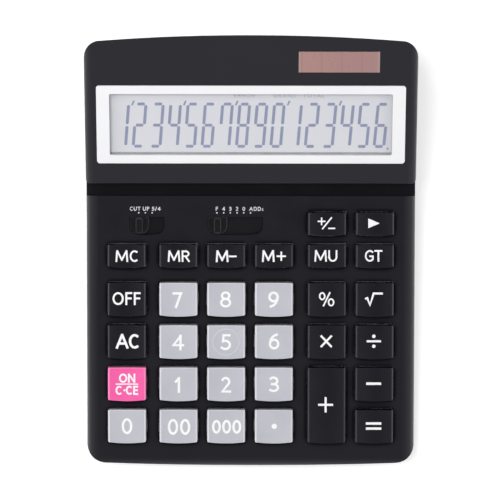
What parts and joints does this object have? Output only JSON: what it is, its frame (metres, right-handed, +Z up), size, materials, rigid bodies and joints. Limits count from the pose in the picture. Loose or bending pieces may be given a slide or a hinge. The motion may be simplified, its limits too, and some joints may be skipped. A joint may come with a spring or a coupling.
{
  "type": "desk calculator",
  "caption": "Dual-power desk calculator with a wedge base, sculpted keys that press, two slide switches and a tilting display head.",
  "frame": {"origin": "on the table plane, below the middle of the base", "axes": "+X to the right as the keys are read, +Y away from the user, +Z up"},
  "size_m": [0.1554, 0.2034, 0.0443],
  "materials": {
    "case_plastic": "satin moulded plastic",
    "head_plastic": "satin moulded plastic",
    "key_grey": "light grey satin key plastic",
    "key_black": "black satin key plastic",
    "key_pink": "pink satin key plastic",
    "knob_plastic": "black plastic",
    "bezel_plastic": "white gloss plastic",
    "clear_window": "clear plastic",
    "lcd_glass": "grey display glass",
    "solar_glass": "reddish solar cell",
    "mat_rubber": "silicone rubber",
    "foot_rubber": "black rubber",
    "board_green": "green circuit board",
    "screw_steel": "plated steel",
    "pin_steel": "ground steel",
    "contact_metal": "nickel plated spring steel",
    "wiper_metal": "spring brass",
    "cell_jacket": "plain jacket",
    "ribbon_film": "flat cable"
  },
  "bodies": {
    "base": {"base_upper_case": "case_plastic", "base_lower_case": "case_plastic", "key_mat": "mat_rubber", "key_board": "board_green", "board_screws": "screw_steel", "case_screws": "screw_steel", "rubber_feet": "foot_rubber", "battery_cell": "cell_jacket", "contact_spring": "contact_metal", "contact_plate": "contact_metal", "ribbon_cable": "ribbon_film"},
    "head": {"head_front_shell": "head_plastic", "head_back_shell": "head_plastic", "head_screws": "screw_steel", "display_bezel": "bezel_plastic", "display_window": "clear_window", "lcd_panel": "lcd_glass", "zebra_strip": "mat_rubber", "display_board": "board_green", "display_board_screws": "screw_steel", "solar_window": "clear_window", "solar_cell": "solar_glass", "hinge_pins": "pin_steel", "hinge_washers": "wiper_metal"},
    "rounding_switch": {"rounding_knob": "knob_plastic", "rounding_wiper": "wiper_metal"},
    "decimal_switch": {"decimal_knob": "knob_plastic", "decimal_wiper": "wiper_metal"},
    "battery_door": {"battery_door": "case_plastic"},
    "key_0": {"key_0": "key_grey"},
    "key_00": {"key_00": "key_grey"},
    "key_000": {"key_000": "key_grey"},
    "key_point": {"key_point": "key_grey"},
    "key_equals": {"key_equals": "key_black"},
    "key_on_clear": {"key_on_clear": "key_pink"},
    "key_1": {"key_1": "key_grey"},
    "key_2": {"key_2": "key_grey"},
    "key_3": {"key_3": "key_grey"},
    "key_plus": {"key_plus": "key_black"},
    "key_minus": {"key_minus": "key_black"},
    "key_ac": {"key_ac": "key_grey"},
    "key_4": {"key_4": "key_grey"},
    "key_5": {"key_5": "key_grey"},
    "key_6": {"key_6": "key_grey"},
    "key_multiply": {"key_multiply": "key_black"},
    "key_divide": {"key_divide": "key_black"},
    "key_off": {"key_off": "key_grey"},
    "key_7": {"key_7": "key_grey"},
    "key_8": {"key_8": "key_grey"},
    "key_9": {"key_9": "key_grey"},
    "key_percent": {"key_percent": "key_black"},
    "key_root": {"key_root": "key_black"},
    "key_mc": {"key_mc": "key_grey"},
    "key_mr": {"key_mr": "key_grey"},
    "key_m_minus": {"key_m_minus": "key_grey"},
    "key_m_plus": {"key_m_plus": "key_grey"},
    "key_mu": {"key_mu": "key_grey"},
    "key_gt": {"key_gt": "key_grey"},
    "key_sign": {"key_sign": "key_black"},
    "key_backspace": {"key_backspace": "key_black"}
  },
  "joints": [
    {"name": "press_0", "type": "slide", "parent": "base", "child": "key_0", "axis": [0, 0.0732, -0.9973], "range_m": [0, 0.0018], "stiffness_N_per_m": 250, "springref_m": -0.0015, "deforming": ["key_mat"]},
    {"name": "press_00", "type": "slide", "parent": "base", "child": "key_00", "axis": [0, 0.0732, -0.9973], "range_m": [0, 0.0018], "stiffness_N_per_m": 250, "springref_m": -0.0015, "deforming": ["key_mat"]},
    {"name": "press_000", "type": "slide", "parent": "base", "child": "key_000", "axis": [0, 0.0732, -0.9973], "range_m": [0, 0.0018], "stiffness_N_per_m": 250, "springref_m": -0.0015, "deforming": ["key_mat"]},
    {"name": "press_point", "type": "slide", "parent": "base", "child": "key_point", "axis": [0, 0.0732, -0.9973], "range_m": [0, 0.0018], "stiffness_N_per_m": 250, "springref_m": -0.0015, "deforming": ["key_mat"]},
    {"name": "press_equals", "type": "slide", "parent": "base", "child": "key_equals", "axis": [0, 0.0732, -0.9973], "range_m": [0, 0.0018], "stiffness_N_per_m": 250, "springref_m": -0.0015, "deforming": ["key_mat"]},
    {"name": "press_on_clear", "type": "slide", "parent": "base", "child": "key_on_clear", "axis": [0, 0.0732, -0.9973], "range_m": [0, 0.0018], "stiffness_N_per_m": 250, "springref_m": -0.0015, "deforming": ["key_mat"]},
    {"name": "press_1", "type": "slide", "parent": "base", "child": "key_1", "axis": [0, 0.0732, -0.9973], "range_m": [0, 0.0018], "stiffness_N_per_m": 250, "springref_m": -0.0015, "deforming": ["key_mat"]},
    {"name": "press_2", "type": "slide", "parent": "base", "child": "key_2", "axis": [0, 0.0732, -0.9973], "range_m": [0, 0.0018], "stiffness_N_per_m": 250, "springref_m": -0.0015, "deforming": ["key_mat"]},
    {"name": "press_3", "type": "slide", "parent": "base", "child": "key_3", "axis": [0, 0.0732, -0.9973], "range_m": [0, 0.0018], "stiffness_N_per_m": 250, "springref_m": -0.0015, "deforming": ["key_mat"]},
    {"name": "press_plus", "type": "slide", "parent": "base", "child": "key_plus", "axis": [0, 0.0732, -0.9973], "range_m": [0, 0.0018], "stiffness_N_per_m": 250, "springref_m": -0.0015, "deforming": ["key_mat"]},
    {"name": "press_minus", "type": "slide", "parent": "base", "child": "key_minus", "axis": [0, 0.0732, -0.9973], "range_m": [0, 0.0018], "stiffness_N_per_m": 250, "springref_m": -0.0015, "deforming": ["key_mat"]},
    {"name": "press_ac", "type": "slide", "parent": "base", "child": "key_ac", "axis": [0, 0.0732, -0.9973], "range_m": [0, 0.0018], "stiffness_N_per_m": 250, "springref_m": -0.0015, "deforming": ["key_mat"]},
    {"name": "press_4", "type": "slide", "parent": "base", "child": "key_4", "axis": [0, 0.0732, -0.9973], "range_m": [0, 0.0018], "stiffness_N_per_m": 250, "springref_m": -0.0015, "deforming": ["key_mat"]},
    {"name": "press_5", "type": "slide", "parent": "base", "child": "key_5", "axis": [0, 0.0732, -0.9973], "range_m": [0, 0.0018], "stiffness_N_per_m": 250, "springref_m": -0.0015, "deforming": ["key_mat"]},
    {"name": "press_6", "type": "slide", "parent": "base", "child": "key_6", "axis": [0, 0.0732, -0.9973], "range_m": [0, 0.0018], "stiffness_N_per_m": 250, "springref_m": -0.0015, "deforming": ["key_mat"]},
    {"name": "press_multiply", "type": "slide", "parent": "base", "child": "key_multiply", "axis": [0, 0.0732, -0.9973], "range_m": [0, 0.0018], "stiffness_N_per_m": 250, "springref_m": -0.0015, "deforming": ["key_mat"]},
    {"name": "press_divide", "type": "slide", "parent": "base", "child": "key_divide", "axis": [0, 0.0732, -0.9973], "range_m": [0, 0.0018], "stiffness_N_per_m": 250, "springref_m": -0.0015, "deforming": ["key_mat"]},
    {"name": "press_off", "type": "slide", "parent": "base", "child": "key_off", "axis": [0, 0.0732, -0.9973], "range_m": [0, 0.0018], "stiffness_N_per_m": 250, "springref_m": -0.0015, "deforming": ["key_mat"]},
    {"name": "press_7", "type": "slide", "parent": "base", "child": "key_7", "axis": [0, 0.0732, -0.9973], "range_m": [0, 0.0018], "stiffness_N_per_m": 250, "springref_m": -0.0015, "deforming": ["key_mat"]},
    {"name": "press_8", "type": "slide", "parent": "base", "child": "key_8", "axis": [0, 0.0732, -0.9973], "range_m": [0, 0.0018], "stiffness_N_per_m": 250, "springref_m": -0.0015, "deforming": ["key_mat"]},
    {"name": "press_9", "type": "slide", "parent": "base", "child": "key_9", "axis": [0, 0.0732, -0.9973], "range_m": [0, 0.0018], "stiffness_N_per_m": 250, "springref_m": -0.0015, "deforming": ["key_mat"]},
    {"name": "press_percent", "type": "slide", "parent": "base", "child": "key_percent", "axis": [0, 0.0732, -0.9973], "range_m": [0, 0.0018], "stiffness_N_per_m": 250, "springref_m": -0.0015, "deforming": ["key_mat"]},
    {"name": "press_root", "type": "slide", "parent": "base", "child": "key_root", "axis": [0, 0.0732, -0.9973], "range_m": [0, 0.0018], "stiffness_N_per_m": 250, "springref_m": -0.0015, "deforming": ["key_mat"]},
    {"name": "press_mc", "type": "slide", "parent": "base", "child": "key_mc", "axis": [0, 0.0732, -0.9973], "range_m": [0, 0.0018], "stiffness_N_per_m": 250, "springref_m": -0.0015, "deforming": ["key_mat"]},
    {"name": "press_mr", "type": "slide", "parent": "base", "child": "key_mr", "axis": [0, 0.0732, -0.9973], "range_m": [0, 0.0018], "stiffness_N_per_m": 250, "springref_m": -0.0015, "deforming": ["key_mat"]},
    {"name": "press_m_minus", "type": "slide", "parent": "base", "child": "key_m_minus", "axis": [0, 0.0732, -0.9973], "range_m": [0, 0.0018], "stiffness_N_per_m": 250, "springref_m": -0.0015, "deforming": ["key_mat"]},
    {"name": "press_m_plus", "type": "slide", "parent": "base", "child": "key_m_plus", "axis": [0, 0.0732, -0.9973], "range_m": [0, 0.0018], "stiffness_N_per_m": 250, "springref_m": -0.0015, "deforming": ["key_mat"]},
    {"name": "press_mu", "type": "slide", "parent": "base", "child": "key_mu", "axis": [0, 0.0732, -0.9973], "range_m": [0, 0.0018], "stiffness_N_per_m": 250, "springref_m": -0.0015, "deforming": ["key_mat"]},
    {"name": "press_gt", "type": "slide", "parent": "base", "child": "key_gt", "axis": [0, 0.0732, -0.9973], "range_m": [0, 0.0018], "stiffness_N_per_m": 250, "springref_m": -0.0015, "deforming": ["key_mat"]},
    {"name": "press_sign", "type": "slide", "parent": "base", "child": "key_sign", "axis": [0, 0.0732, -0.9973], "range_m": [0, 0.0018], "stiffness_N_per_m": 250, "springref_m": -0.0015, "deforming": ["key_mat"]},
    {"name": "press_backspace", "type": "slide", "parent": "base", "child": "key_backspace", "axis": [0, 0.0732, -0.9973], "range_m": [0, 0.0018], "stiffness_N_per_m": 250, "springref_m": -0.0015, "deforming": ["key_mat"]},
    {"name": "rounding_slide", "type": "slide", "parent": "base", "child": "rounding_switch", "axis": [1, 0, 0], "range_m": [0, 0.00632]},
    {"name": "decimal_slide", "type": "slide", "parent": "base", "child": "decimal_switch", "axis": [1, 0, 0], "range_m": [0, 0.0158]},
    {"name": "head_tilt", "type": "hinge", "parent": "base", "child": "head", "pos_m": [0, 0.03772, 0.01953], "axis": [1, 0, 0], "range_deg": [-12.2, 30], "deforming": ["ribbon_cable"]},
    {"name": "battery_door_slide", "type": "slide", "parent": "base", "child": "battery_door", "axis": [0, 1, 0], "range_m": [0, 0.032]}
  ]
}
